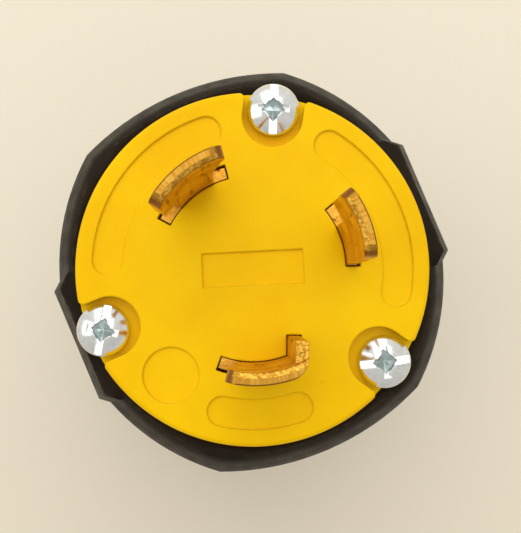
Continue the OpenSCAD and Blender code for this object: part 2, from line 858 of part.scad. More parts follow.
module terminal_carrier() {
    color(grey)
        difference() {
            translate([0, 0, z_carrier])
                cylinder(r = carrier_r, h = carrier_h);
            terminal_pocket(neutral_angles, term_angles[0]);
            terminal_pocket(hot_angles, term_angles[1]);
            // the ground blade's root ends with its slot angle
            terminal_pocket([ground_angles[0], ground_angles[1] - root_turn], term_angles[2]);
            for (i = [0:2])
                at_screw(i)
                    translate([0, 0, z_carrier - over])
                        cylinder(r = boss_r + free_gap, h = carrier_h + 2 * over);
            for (a = carrier_screw_angles)
                rotate([0, 0, a])
                    translate([carrier_screw_pos_r, 0, z_carrier - over]) {
                        cylinder(r = carrier_screw_r + run_gap, h = carrier_h + 2 * over);
                        cylinder(r = carrier_head_r + lay_gap, h = carrier_head_sink + carrier_head_h + over);
                    }
        }
}

module carrier_screws() {
    color(zinc)
        for (a = carrier_screw_angles)
            rotate([0, 0, a])
                translate([carrier_screw_pos_r, 0, z_carrier + carrier_head_sink])
                    difference() {
                        union() {
                            cylinder(r = carrier_head_r, h = carrier_head_h);
                            cylinder(r = carrier_screw_r, h = carrier_h - carrier_head_sink + carrier_screw_reach);
                        }
                        translate([-small_slot_w / 3, -carrier_head_r - over, -over])
                            cube([small_slot_w * 2 / 3, 2 * (carrier_head_r + over), over + small_slot_depth]);
                    }
}

// ---- Assembly screws ----

// The combined square, cross and slot recess of a screw head, pointing down from z = 0
module drive_recess() {
    point = square_depth + square_half / 2;
    translate([-wing_half, -wing_w / 2, -wing_depth])
        cube([2 * wing_half, wing_w, wing_depth + over]);
    translate([-slot_w / 2, -head_r - over, -slot_depth])
        cube([slot_w, 2 * (head_r + over), slot_depth + over]);
    rotate([0, 0, 45])
        intersection_for (turn = [0, 90])
            rotate([90, 0, turn])
                linear_extrude(4 * square_half, center = true)
                    polygon([[-square_half, over], [-square_half, -square_depth], [0, -point],
                        [square_half, -square_depth], [square_half, over]]);
}

// A captive screw: domed head, neck for its ring, shank and cone point
module assembly_screw(i) {
    tip = z_seat - screw_reach;
    crown = head_h - head_side_h;
    dome_r = (head_r * head_r + crown * crown) / (2 * crown);
    at_screw(i)
        difference() {
            rotate_extrude()
                difference() {
                    union() {
                        intersection() {
                            translate([0, z_pocket])
                                square([head_r, head_h]);
                            translate([0, z_pocket + head_h - dome_r])
                                circle(dome_r);
                        }
                        polygon([[0, tip], [screw_r / 2, tip], [screw_r, tip + screw_r / 2],
                            [screw_r, z_pocket + eps], [0, z_pocket + eps]]);
                    }
                    // neck of the retaining ring
                    translate([screw_r - neck, z_seat - lay_gap])
                        square([neck + over, ring_t + 2 * lay_gap]);
                    // left half
                    translate([-2 * dome_r, 0])
                        square([2 * dome_r, z_tip]);
                }
            translate([0, 0, z_pocket + head_h])
                rotate([0, 0, slot_dirs[i] - screw_angles[i] - 90])
                    drive_recess();
        }
}

module assembly_screw_1() {
    color(zinc)
        assembly_screw(0);
}

module assembly_screw_2() {
    color(zinc)
        assembly_screw(1);
}

module assembly_screw_3() {
    color(zinc)
        assembly_screw(2);
}

// The slit ring that keeps an assembly screw in the front body
module screw_retainer(i) {
    at_screw(i)
        difference() {
            translate([0, 0, z_seat])
                cylinder(r = ring_r, h = ring_t);
            translate([0, 0, z_seat - over])
                cylinder(r = screw_r - neck + run_gap, h = ring_t + 2 * over);
            translate([-2 * ring_r, -ring_slit / 2, z_seat - over])
                cube([2 * ring_r, ring_slit, ring_t + 2 * over]);
        }
}

module screw_retainer_1() {
    color(black)
        screw_retainer(0);
}

module screw_retainer_2() {
    color(black)
        screw_retainer(1);
}

module screw_retainer_3() {
    color(black)
        screw_retainer(2);
}

module threaded_inserts() {
    top = z_seat - insert_sink;
    color(gold)
        for (i = [0:2])
            at_screw(i)
                difference() {
                    translate([0, 0, top - insert_len])
                        cylinder(r = insert_r, h = insert_len);
                    translate([0, 0, top - insert_len - over])
                        cylinder(r = screw_r + run_gap, h = insert_len + 2 * over);
                }
}

// ---- Cord seal and clamp ----

module cord_seal() {
    color(black)
        translate([0, 0, z_seal])
            difference() {
                cylinder(r = seal_r, h = seal_t);
                translate([0, 0, -over])
                    cylinder(r = seal_hole_r, h = seal_t + 2 * over);
            }
}

module cord_clamp_saddle() {
    low = saddle_gap - cradle_split;
    color(black)
        difference() {
            clamp_block(low, clamp_flat, z_entry - saddle_top_gap);
            clamp_bore();
            for (x = [-clamp_screw_x, clamp_screw_x])
                translate([x, 0, clamp_h / 2])
                    rotate([-90, 0, 0]) {
                        cylinder(r = clamp_screw_r + run_gap, h = clamp_r);
                        translate([0, 0, low + saddle_ear])
                            cylinder(r = clamp_head_r + lay_gap, h = clamp_r);
                    }
        }
}

// A clamp screw at x, along Y, its head on the saddle
module clamp_screw(x) {
    seat = saddle_gap - cradle_split + saddle_ear;
    translate([x, seat, clamp_h / 2])
        rotate([90, 0, 0])
            difference() {
                union() {
                    translate([0, 0, -clamp_head_h])
                        cylinder(r = clamp_head_r, h = clamp_head_h);
                    cylinder(r = clamp_screw_r, h = clamp_screw_len);
                }
                translate([-small_slot_w / 2, -clamp_head_r - over, -clamp_head_h - over])
                    cube([small_slot_w, 2 * (clamp_head_r + over), over + small_slot_depth]);
            }
}

module clamp_screw_left() {
    color(zinc)
        clamp_screw(-clamp_screw_x);
}

module clamp_screw_right() {
    color(zinc)
        clamp_screw(clamp_screw_x);
}

module clamp_nuts() {
    color(zinc)
        for (x = [-clamp_screw_x, clamp_screw_x])
            translate([x, -cradle_split - nut_seat - nut_t, clamp_h / 2])
                difference() {
                    translate([-nut_w / 2, 0, -nut_w / 2])
                        cube([nut_w, nut_t, nut_w]);
                    translate([0, -over, 0])
                        rotate([-90, 0, 0])
                            cylinder(r = clamp_screw_r + run_gap, h = nut_t + 2 * over);
                }
}

front_body();
housing();
blade_neutral();
blade_hot();
blade_ground();
terminal_carrier();
terminal_screw_neutral();
terminal_screw_hot();
terminal_screw_ground();
terminal_clamp_neutral();
terminal_clamp_hot();
terminal_clamp_ground();
assembly_screw_1();
assembly_screw_2();
assembly_screw_3();
screw_retainer_1();
screw_retainer_2();
screw_retainer_3();
threaded_inserts();
carrier_screws();
cord_seal();
cord_clamp_saddle();
clamp_screw_left();
clamp_screw_right();
clamp_nuts();
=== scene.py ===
"""Looks of the locking plug: finishes, threads, studio, camera and image points.

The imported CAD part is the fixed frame. It stands on its cord end at z = 0 with its blades up, in metres.
"""
import logging
import math
from dataclasses import dataclass, field
from enum import Enum
from typing import Dict, List, Optional, Sequence, Tuple

import bmesh
import bpy
import numpy as np
from mathutils import Euler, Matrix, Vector
from mathutils.bvhtree import BVHTree


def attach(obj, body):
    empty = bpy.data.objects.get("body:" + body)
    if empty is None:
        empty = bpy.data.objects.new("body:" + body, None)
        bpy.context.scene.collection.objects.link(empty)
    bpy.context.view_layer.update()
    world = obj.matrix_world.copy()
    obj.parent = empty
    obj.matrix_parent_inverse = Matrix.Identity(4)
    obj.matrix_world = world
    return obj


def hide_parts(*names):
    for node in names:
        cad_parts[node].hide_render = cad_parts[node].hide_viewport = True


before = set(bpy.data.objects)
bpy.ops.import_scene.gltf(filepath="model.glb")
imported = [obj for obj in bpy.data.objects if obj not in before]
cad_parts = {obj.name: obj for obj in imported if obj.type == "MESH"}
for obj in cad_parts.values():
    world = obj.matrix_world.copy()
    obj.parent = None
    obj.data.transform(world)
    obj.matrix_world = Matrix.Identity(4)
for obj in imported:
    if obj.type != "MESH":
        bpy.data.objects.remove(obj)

Colour = Tuple[float, float, float]
Point = Tuple[float, float, float]
Pixel = Tuple[float, float]
MM = 0.001
WELD = 2e-6
log = logging.getLogger("locking_plug")


# ---------------------------------------------------------------- camera and image points

@dataclass(frozen=True)
class PhotoCamera:
    """The photograph's view: looking down on the blades from just over the face.

    The sensor fit is AUTO, so sensor_width spans the frame's longer side.
    """

    width: int = 521
    height: int = 533
    place: Point = (-0.00170, -0.00473, 0.20928)
    tilt_deg: Point = (2.14, -1.166, 0.0)
    lens_mm: float = 66.78
    sensor_mm: float = 36.0
    shift: Tuple[float, float] = (0.0, 0.0)

    def build(self) -> bpy.types.Object:
        """Makes the camera and sets it as the scene's.

        Returns:
            The camera object.
        """
        data = bpy.data.cameras.new("photo_camera")
        data.sensor_fit = "AUTO"
        data.sensor_width = self.sensor_mm
        data.lens = self.lens_mm
        data.shift_x, data.shift_y = self.shift
        data.clip_start, data.clip_end = 0.005, 20.0
        camera = bpy.data.objects.new("photo_camera", data)
        camera.location = self.place
        camera.rotation_euler = [math.radians(a) for a in self.tilt_deg]
        bpy.context.scene.collection.objects.link(camera)
        bpy.context.scene.camera = camera
        return camera

    @property
    def long_side(self) -> int:
        """The longer side of the frame in pixels."""
        return max(self.width, self.height)

    @property
    def turn(self) -> np.ndarray:
        """The camera's axes as the columns of a matrix."""
        return np.array(Euler([math.radians(a) for a in self.tilt_deg], "XYZ").to_matrix())

    def ray(self, pixel: Pixel) -> Tuple[Vector, Vector]:
        """The ray through an image point.

        Formula: (x - W/2 + shift_x L, H/2 - y + shift_y L, -L lens / sensor) in the camera's axes.

        Args:
            pixel: x to the right and y down, in the photograph's frame.

        Returns:
            The ray's start and its unit direction.
        """
        side = self.long_side
        local = np.array([pixel[0] - self.width / 2 + self.shift[0] * side,
                          self.height / 2 - pixel[1] + self.shift[1] * side,
                          -side * self.lens_mm / self.sensor_mm])
        along = self.turn @ local
        return Vector(self.place), Vector(along / np.linalg.norm(along))

    def project(self, points: np.ndarray) -> np.ndarray:
        """Where points show in the photograph's frame.

        Args:
            points: an array of n points, in metres.

        Returns:
            An array of n pixel positions.
        """
        side = self.long_side
        local = (np.atleast_2d(points) - np.array(self.place)) @ self.turn
        scale = side * self.lens_mm / self.sensor_mm / -local[:, 2]
        x = local[:, 0] * scale + self.width / 2 - self.shift[0] * side
        y = self.height / 2 - local[:, 1] * scale + self.shift[1] * side
        return np.stack([x, y], axis=1)


CAMERA = PhotoCamera()
# Heights in metres above which only the front face, a screw's head or a blade's tip is measured.
FACE_LEVEL = 0.0745
HEAD_LEVEL = 0.0735
TIP_LEVEL = 0.0935

# What the photograph shows where, in its own frame of 521 x 533.
IMAGE_POINTS: Dict[str, Pixel] = {
    "housing_left_ear": (52.9, 290.9),
    "housing_right_ear": (446.6, 248.9),
    "housing_top_corner": (282.4, 72.9),
    "housing_bottom_corner": (220.8, 472.0),
    "face_left": (75.0, 268.0),
    "face_right": (430.0, 268.0),
    "screw_top": (273.1, 107.8),
    "screw_lower_left": (101.5, 330.6),
    "screw_lower_right": (384.2, 361.0),
    "neutral_tip_corner": (220.8, 145.1),
    "hot_tip_corner": (351.5, 186.3),
    "ground_tip_corner": (223.9, 380.8),
    "gate_mark": (322.2, 381.4),
}


def place_on(tree: BVHTree, pixel: Pixel, corners: np.ndarray) -> Vector:
    """Finds the point of a surface that shows at an image point.

    Args:
        tree: the surface that carries the piece, as finished and placed.
        pixel: the image point.
        corners: the surface's vertices, used where the ray misses it.

    Returns:
        Where the ray meets the surface, or the surface's place nearest the ray.
    """
    start, along = CAMERA.ray(pixel)
    hit = tree.ray_cast(start, along)
    if hit[0] is not None:
        return hit[0]
    reach = (corners - np.array(start)) @ np.array(along)
    off = corners - np.array(start) - np.outer(reach, np.array(along))
    return Vector(corners[np.argmin((off ** 2).sum(axis=1))])


def vertices_of(obj: bpy.types.Object) -> np.ndarray:
    """The vertices of an object's finished mesh.

    Args:
        obj: a mesh object at the origin.

    Returns:
        An array of n points, in metres.
    """
    finished = obj.evaluated_get(bpy.context.evaluated_depsgraph_get()).to_mesh()
    flat = np.empty(len(finished.vertices) * 3)
    finished.vertices.foreach_get("co", flat)
    return flat.reshape(-1, 3)


def tree_of(obj: bpy.types.Object) -> BVHTree:
    """The search tree of an object's finished surface."""
    return BVHTree.FromObject(obj, bpy.context.evaluated_depsgraph_get())


# ---------------------------------------------------------------- materials

def srgb(red: int, green: int, blue: int) -> Colour:
    """A colour as read off a screen, turned into linear light.

    Args:
        red: 0 to 255.
        green: 0 to 255.
        blue: 0 to 255.

    Returns:
        The linear colour.
    """
    def linear(v: int) -> float:
        """One channel: c / 12.92 near black, else ((c + 0.055) / 1.055) to the power 2.4."""
        c = v / 255
        return c / 12.92 if c <= 0.04045 else ((c + 0.055) / 1.055) ** 2.4
    return linear(red), linear(green), linear(blue)


class Shader:
    """One node material with a Principled shader, built link by link."""

    def __init__(self, name: str) -> None:
        """Starts the material.

        Args:
            name: the material's name.
        """
        self.material = bpy.data.materials.new(name)
        self.material.use_nodes = True
        self.tree = self.material.node_tree
        self.tree.nodes.clear()
        self.out = self.tree.nodes.new("ShaderNodeOutputMaterial")
        self.base = self.tree.nodes.new("ShaderNodeBsdfPrincipled")
        self.tree.links.new(self.base.outputs[0], self.out.inputs[0])
        self.place = self.tree.nodes.new("ShaderNodeTexCoord").outputs["Object"]

    def add(self, kind: str, inputs: Optional[Dict[object, object]] = None,
            **settings: object) -> bpy.types.Node:
        """Adds a node.

        Args:
            kind: the node type without its ShaderNode prefix.
            inputs: a value or a socket for each named or numbered input.
            settings: the node's own properties.

        Returns:
            The node.
        """
        node = self.tree.nodes.new("ShaderNode" + kind)
        for key, value in settings.items():
            setattr(node, key, value)
        for key, value in (inputs or {}).items():
            if isinstance(value, bpy.types.NodeSocket):
                self.tree.links.new(value, node.inputs[key])
            else:
                node.inputs[key].default_value = value
        return node

    def maths(self, operation: str, *values: object) -> bpy.types.NodeSocket:
        """A sum of one to three values or sockets, by Blender's name for it."""
        return self.add("Math", dict(enumerate(values)), operation=operation).outputs[0]

    def stretched(self, scale: Point, turn_deg: Point = (0, 0, 0)) -> bpy.types.NodeSocket:
        """Object coordinates, scaled and turned.

        Args:
            scale: the factor along each axis.
            turn_deg: the turn about each axis.

        Returns:
            The vector socket.
        """
        turn = [math.radians(a) for a in turn_deg]
        return self.add("Mapping", {"Vector": self.place, "Scale": scale, "Rotation": turn}).outputs[0]

    def noise(self, scale: float, detail: float = 3.0, rough: float = 0.5,
              place: Optional[bpy.types.NodeSocket] = None) -> bpy.types.NodeSocket:
        """Cloudy noise from 0 to 1.

        Args:
            scale: cells per metre.
            detail: octaves.
            rough: weight of the fine octaves.
            place: the coordinates, by default the object's.

        Returns:
            The factor socket.
        """
        where = place if place is not None else self.place
        return self.add("TexNoise", {"Vector": where, "Scale": scale, "Detail": detail,
                                     "Roughness": rough}).outputs[0]

    def span(self, value: bpy.types.NodeSocket, low: float, high: float,
             to_low: float, to_high: float) -> bpy.types.NodeSocket:
        """Maps a range smoothly onto another.

        Args:
            value: the socket to map.
            low: start of the input range.
            high: end of the input range.
            to_low: what the start becomes.
            to_high: what the end becomes.

        Returns:
            The mapped socket.
        """
        return self.add("MapRange", {0: value, 1: low, 2: high, 3: to_low, 4: to_high},
                        interpolation_type="SMOOTHSTEP").outputs[0]

    def blend(self, share: object, first: object, second: object) -> bpy.types.NodeSocket:
        """Mixes two colours.

        Args:
            share: 0 for the first, 1 for the second.
            first: a linear colour or a socket.
            second: a linear colour or a socket.

        Returns:
            The colour socket.
        """
        node = self.add("Mix", data_type="RGBA", clamp_factor=True)
        for number, value in ((0, share), (6, first), (7, second)):
            if isinstance(value, bpy.types.NodeSocket):
                self.tree.links.new(value, node.inputs[number])
            else:
                node.inputs[number].default_value = (*value, 1.0) if number else value
        return node.outputs[2]

    def parts(self, vector: bpy.types.NodeSocket) -> Tuple[bpy.types.NodeSocket, ...]:
        """The x, y and z of a vector."""
        return tuple(self.add("SeparateXYZ", {0: vector}).outputs)

    def joined(self, x: object, y: object, z: object) -> bpy.types.NodeSocket:
        """The vector of three numbers or sockets."""
        return self.add("CombineXYZ", {0: x, 1: y, 2: z}).outputs[0]

    def edge_normal(self, radius: float) -> bpy.types.NodeSocket:
        """Normals that round every edge off at a radius in metres."""
        return self.add("Bevel", {"Radius": radius}, samples=6).outputs[0]

    def edge_share(self, rounded: bpy.types.NodeSocket) -> bpy.types.NodeSocket:
        """How near an edge a place is, from 0 to 1: one less the dot product of both normals, scaled.

        Args:
            rounded: the normals from edge_normal.

        Returns:
            The factor socket.
        """
        flat = self.add("NewGeometry").outputs["Normal"]
        dot = self.add("VectorMath", {0: rounded, 1: flat}, operation="DOT_PRODUCT").outputs[1]
        return self.span(dot, 0.82, 0.99, 1.0, 0.0)

    def bump(self, height: bpy.types.NodeSocket, depth: float,
             normal: Optional[bpy.types.NodeSocket] = None) -> bpy.types.NodeSocket:
        """Relief from a height.

        Args:
            height: 0 to 1.
            depth: what 1 stands for, in metres.
            normal: the normal that it adds to.

        Returns:
            The normal socket.
        """
        inputs: Dict[object, object] = {"Height": height, "Distance": depth, "Strength": 1.0}
        if normal is not None:
            inputs["Normal"] = normal
        return self.add("Bump", inputs).outputs[0]

    def finish(self, **inputs: object) -> bpy.types.Material:
        """Sets the shader's inputs, by name with underscores for spaces.

        Args:
            inputs: a value or a socket for each.

        Returns:
            The material.
        """
        for key, value in inputs.items():
            socket = self.base.inputs[key.replace("_", " ")]
            if isinstance(value, bpy.types.NodeSocket):
                self.tree.links.new(value, socket)
            else:
                is_colour = isinstance(value, tuple) and len(value) == 3
                socket.default_value = (*value, 1.0) if is_colour else value
        return self.material


@dataclass(frozen=True)
class MouldedNylon:
    """Injection-moulded nylon: cloudy colour, fine grain, flow marks and softly rounded edges, lightened by
    rubbed wear and a painted edge highlight.
    """

    name: str
    light: Colour
    deep: Colour
    worn_and_highlight: Colour
    roughness: Tuple[float, float]
    grain_depth: float
    grain_scale: float = 5200.0
    edge: float = 0.00025
    specular: float = 0.25
    wear_and_highlight: float = 0.2

    def build(self) -> bpy.types.Material:
        """Makes the material.

        Rubbed wear and a painted edge highlight show as a lighter colour where the rounded normal turns away
        from the flat one, broken up by noise.

        Returns:
            The material.
        """
        s = Shader(self.name)
        cloud = s.noise(55.0, 4.0, 0.55)
        colour = s.blend(s.span(cloud, 0.35, 0.65, 0.0, 1.0), self.light, self.deep)
        rounded = s.edge_normal(self.edge)
        # painted edge highlight and rubbed wear: a lighter colour along the rounded edges, broken up by
        # noise
        scuffs_and_highlight = s.span(s.noise(900.0, 4.0, 0.6), 0.35, 0.7, 0.0, self.wear_and_highlight)
        rub_and_highlight = s.maths("MULTIPLY", s.edge_share(rounded), scuffs_and_highlight)
        colour = s.blend(rub_and_highlight, colour, self.worn_and_highlight)
        grain = s.noise(self.grain_scale, 2.0, 0.5)
        flow = s.noise(420.0, 3.0, 0.5, s.stretched((1.0, 1.0, 0.35)))
        rough = s.span(flow, 0.3, 0.7, self.roughness[0], self.roughness[1])
        relief = s.maths("MULTIPLY_ADD", flow, 0.6, grain)
        return s.finish(Base_Color=colour, Roughness=rough, Normal=s.bump(relief, self.grain_depth, rounded),
                        IOR=1.53, Specular_IOR_Level=self.specular)


@dataclass(frozen=True)
class StampedBrass:
    """Brass strip as the press leaves it.

    A tip has a smooth sheared band outside and a rough torn band inside; its rounded ends, where the surface
    turns down, get painted shade in the brown colour. The sides carry long lines up the blade, dark streaks
    and brown tarnish. Radii and heights are in metres.
    """

    name: str = "stamped_brass"
    bright: Colour = srgb(224, 170, 66)
    warm: Colour = srgb(188, 122, 34)
    tan: Colour = srgb(200, 152, 60)
    fleck: Colour = srgb(250, 198, 80)
    torn: Colour = srgb(184, 126, 40)
    tarnish_and_shade: Colour = srgb(128, 74, 26)
    streak: Colour = srgb(122, 40, 6)
    inner_r: float = 0.01264
    torn_w: float = 0.00062
    tear_play: float = 0.0005
    tip: float = 0.0965
    edge: float = 0.00016

    def build(self) -> bpy.types.Material:
        """Makes the material.

        Returns:
            The material.
        """
        s = Shader(self.name)
        x, y, z = s.parts(s.place)
        radius = s.maths("SQRT", s.maths("ADD", s.maths("MULTIPLY", x, x), s.maths("MULTIPLY", y, y)))
        arc = s.maths("MULTIPLY", s.maths("ARCTAN2", y, x), self.inner_r)
        up = s.parts(s.add("NewGeometry").outputs["Normal"])[2]
        at_tip = s.maths("MULTIPLY", s.span(up, 0.3, 0.6, 0.0, 1.0),
                         s.span(z, self.tip - 0.0022, self.tip - 0.0016, 0.0, 1.0))
        patches = s.noise(260.0, 5.0, 0.6)
        spots = s.noise(900.0, 3.0, 0.55)
        metal = s.blend(s.span(patches, 0.35, 0.68, 0.0, 1.0), self.bright, self.warm)
        brown = s.maths("MULTIPLY", s.span(spots, 0.5, 0.72, 0.0, 0.6), s.span(patches, 0.4, 0.7, 0.3, 1.0))
        side = s.blend(brown, metal, self.tarnish_and_shade)
        long_marks = s.noise(900.0, 3.0, 0.6, s.joined(arc, radius, s.maths("MULTIPLY", z, 0.12)))
        side = s.blend(s.span(long_marks, 0.6, 0.68, 0.0, 0.9), side, self.streak)
        wander = s.maths("MULTIPLY_ADD", s.noise(1100.0, 3.0, 0.6), self.tear_play,
                         self.inner_r + self.torn_w - self.tear_play / 2)
        band = s.maths("MULTIPLY", s.maths("LESS_THAN", radius, wander), 0.9)
        flecks = s.noise(2600.0, 4.0, 0.65)
        rough_band = s.blend(s.span(flecks, 0.4, 0.62, 0.0, 1.0), self.torn, self.fleck)
        lip = s.maths("MULTIPLY", s.span(radius, self.inner_r - 0.0002, self.inner_r - 0.0001, 0.0, 1.0),
                      s.span(radius, self.inner_r + 0.00003, self.inner_r + 0.00012, 0.7, 0.0))
        rough_band = s.blend(lip, rough_band, self.streak)
        shear = s.noise(3600.0, 2.0, 0.5, s.joined(arc, s.maths("MULTIPLY", radius, 0.12), z))
        smooth_band = s.blend(s.span(shear, 0.4, 0.62, 0.0, 0.9), self.tan, self.torn)
        tip_colour = s.blend(band, smooth_band, rough_band)
        # painted shade: where the tip's normal turns away from up, at its rounded ends, the colour darkens
        # towards the brown
        tip_colour = s.blend(s.span(up, 0.7, 0.84, 0.8, 0.0), tip_colour, self.tarnish_and_shade)
        colour = s.blend(at_tip, side, tip_colour)
        lines = s.noise(2600.0, 2.0, 0.5, s.joined(arc, radius, s.maths("MULTIPLY", z, 0.04)))
        tip_relief = s.maths("ADD", s.maths("MULTIPLY", shear, 0.5), s.maths("MULTIPLY", flecks, band))
        relief = s.maths("ADD", s.maths("MULTIPLY", lines, s.maths("SUBTRACT", 1.0, at_tip)),
                         s.maths("MULTIPLY", tip_relief, at_tip))
        rough = s.maths("MULTIPLY_ADD", at_tip, 0.1, s.span(patches, 0.3, 0.7, 0.3, 0.44))
        normal = s.bump(relief, 0.00005, s.edge_normal(self.edge))
        return s.finish(Base_Color=colour, Metallic=1.0, Roughness=rough, Normal=normal)


@dataclass(frozen=True)
class ZincPlate:
    """Bright zinc plate with painted shade that makes it darker and bluer in a driver recess, with rolled
    threads where there are any.

    Threads show below the height thread_below. On a screw along Y they show outside the radius
    in thread_axis, which holds the axis's distance from x = 0, its height and that radius.
    """

    name: str = "bright_zinc"
    bright: Colour = srgb(252, 252, 248)
    haze: Colour = srgb(206, 213, 211)
    recess_shade: Colour = srgb(186, 202, 202)
    recess_top: float = 0.0
    recess_depth: float = 0.0005
    thread_below: float = 0.0
    thread_axis: Optional[Tuple[float, float, float]] = None
    pitch: float = 0.0008
    edge: float = 0.00014

    def build(self) -> bpy.types.Material:
        """Makes the material.

        A thread is a ridge: the sine of 2 pi (height / pitch + turn), with the turn in whole turns.

        Returns:
            The material.
        """
        s = Shader(self.name)
        x, y, z = s.parts(s.place)
        cloud = s.noise(700.0, 4.0, 0.6)
        colour: bpy.types.NodeSocket = s.blend(s.span(cloud, 0.35, 0.75, 0.0, 0.5), self.bright, self.haze)
        if self.recess_top > 0:
            # painted shade: below the recess's top the zinc turns darker and bluer
            colour = s.blend(s.span(z, self.recess_top - self.recess_depth, self.recess_top, 1.0, 0.0),
                             colour, self.recess_shade)
        rough = s.span(cloud, 0.3, 0.7, 0.09, 0.2)
        normal = s.bump(s.noise(2400.0, 3.0, 0.5), 0.000012, s.edge_normal(self.edge))
        turns: Optional[bpy.types.NodeSocket] = None
        if self.thread_below > 0:
            turns = s.maths("DIVIDE", z, self.pitch)
            shows = s.span(z, self.thread_below - 0.0001, self.thread_below, 1.0, 0.0)
        if self.thread_axis is not None:
            side_x, centre_z, shank_r = self.thread_axis
            across = s.maths("SUBTRACT", s.maths("ABSOLUTE", x), side_x)
            above = s.maths("SUBTRACT", z, centre_z)
            turn = s.maths("DIVIDE", s.maths("ARCTAN2", above, across), 2 * math.pi)
            turns = s.maths("ADD", s.maths("DIVIDE", y, self.pitch), turn)
            squares = s.maths("ADD", s.maths("MULTIPLY", across, across), s.maths("MULTIPLY", above, above))
            off = s.maths("SQRT", squares)
            shows = s.span(off, shank_r + 0.00005, shank_r + 0.00015, 1.0, 0.0)
        if turns is not None:
            wave = s.maths("SINE", s.maths("MULTIPLY", turns, 2 * math.pi))
            ridge = s.maths("MULTIPLY", s.maths("MULTIPLY_ADD", wave, 0.5, 0.5), shows)
            normal = s.bump(ridge, 0.00025, normal)
        return s.finish(Base_Color=colour, Metallic=1.0, Roughness=rough, Normal=normal)


@dataclass(frozen=True)
class SealRubber:
    """Matt black rubber with a dusty bloom."""

    name: str = "seal_rubber"

    def build(self) -> bpy.types.Material:
        """Makes the material.

        Returns:
            The material.
        """
        s = Shader(self.name)
        bloom = s.noise(300.0, 5.0, 0.6)
        colour = s.blend(s.span(bloom, 0.4, 0.75, 0.0, 1.0), srgb(30, 30, 30), srgb(62, 60, 58))
        normal = s.bump(s.noise(3000.0, 2.0), 0.00004, s.edge_normal(0.0003))
        return s.finish(Base_Color=colour, Roughness=s.span(bloom, 0.3, 0.7, 0.7, 0.9), Normal=normal)


class Finish(Enum):
    """The finishes of this plug, by the piece's kind."""

    YELLOW = MouldedNylon("yellow_nylon", srgb(250, 201, 3), srgb(243, 190, 1), srgb(255, 220, 40),
                          (0.26, 0.4),
                          0.000012, 5200.0, 0.0004, 0.05, 0.6)
    # the black's strong edge lightening is partly a painted highlight that lets its edges read
    BLACK = MouldedNylon("black_nylon", srgb(41, 34, 26), srgb(34, 28, 21), srgb(104, 90, 70), (0.4, 0.5),
                         0.00004, 3600.0, 0.0007, 0.045, 0.7)
    GREY = MouldedNylon("grey_nylon", srgb(104, 102, 98), srgb(88, 86, 82), srgb(132, 130, 126), (0.4, 0.55),
                        0.00003)
    GREEN = MouldedNylon("green_plate", srgb(60, 128, 72), srgb(40, 100, 56), srgb(150, 170, 140),
                         (0.25, 0.4),
                         0.00001)
    BRASS = StampedBrass()
    SCREW = ZincPlate("screw_zinc", recess_top=0.0753, thread_below=0.0625)
    CLAMP_SCREW = ZincPlate("clamp_screw_zinc", thread_axis=(0.0155, 0.00775, 0.0021))
    ZINC = ZincPlate("plain_zinc")
    RUBBER = SealRubber()


class Finishes:
    """The materials made so far, each made once."""

    def __init__(self) -> None:
        """Starts with none."""
        self.made: Dict[Finish, bpy.types.Material] = {}

    def get(self, finish: Finish) -> bpy.types.Material:
        """The material of a finish."""
        if finish not in self.made:
            self.made[finish] = finish.value.build()
        return self.made[finish]

    def dress(self, node: str, finish: Finish) -> bpy.types.Object:
        """Gives a CAD node its finish.

        Args:
            node: the node's name.
            finish: its finish.

        Returns:
            The node's object.
        """
        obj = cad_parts[node]
        for slot in obj.material_slots:
            slot.material = self.get(finish)
        log.info("%s: %s", node, finish.name.lower())
        return obj


# ---------------------------------------------------------------- new pieces

def make_piece(name: str, points: np.ndarray, faces: Sequence[Sequence[int]], material: bpy.types.Material,
               body: str) -> bpy.types.Object:
    """Puts a mesh into the scene as a piece that rides on a body.

    Args:
        name: the piece's name.
        points: an array of n vertices, in metres.
        faces: the faces' vertex numbers.
        material: its material.
        body: the CAD body that it rides on.

    Returns:
        The piece.
    """
    mesh = bpy.data.meshes.new(name)
    mesh.from_pydata(points.tolist(), [], [list(map(int, f)) for f in faces])
    mesh.polygons.foreach_set("use_smooth", np.full(len(mesh.polygons), True))
    mesh.materials.append(material)
    mesh.update()
    piece = bpy.data.objects.new(name, mesh)
    bpy.context.scene.collection.objects.link(piece)
    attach(piece, body)
    log.info("%s: %d faces on %s", name, len(faces), body)
    return piece


def grid_faces(rows: int, columns: int, wrap: bool) -> np.ndarray:
    """The four-sided faces of a grid of vertices, numbered row by row.

    Args:
        rows: rows of vertices.
        columns: vertices in each row.
        wrap: whether the last column joins the first.

    Returns:
        An array of faces.
    """
    row = np.arange(rows - 1)[:, None]
    column = np.arange(columns if wrap else columns - 1)[None, :]
    after = (column + 1) % columns
    first, second = row * columns, (row + 1) * columns
    corners = [first + column, first + after, second + after, second + column]
    return np.stack([c.ravel() for c in np.broadcast_arrays(*corners)], axis=1)


def merged_copy(node: str, name: str, material: bpy.types.Material) -> bpy.types.Object:
    """A copy of a CAD node whose loose triangles are joined, as a new object.

    Args:
        node: the node's name.
        name: the copy's name.
        material: its material.

    Returns:
        The copy.
    """
    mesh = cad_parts[node].data.copy()
    mesh.name = name
    form = bmesh.new()
    form.from_mesh(mesh)
    bmesh.ops.remove_doubles(form, verts=form.verts, dist=WELD)
    form.to_mesh(mesh)
    form.free()
    mesh.materials.clear()
    mesh.materials.append(material)
    copy = bpy.data.objects.new(name, mesh)
    bpy.context.scene.collection.objects.link(copy)
    return copy


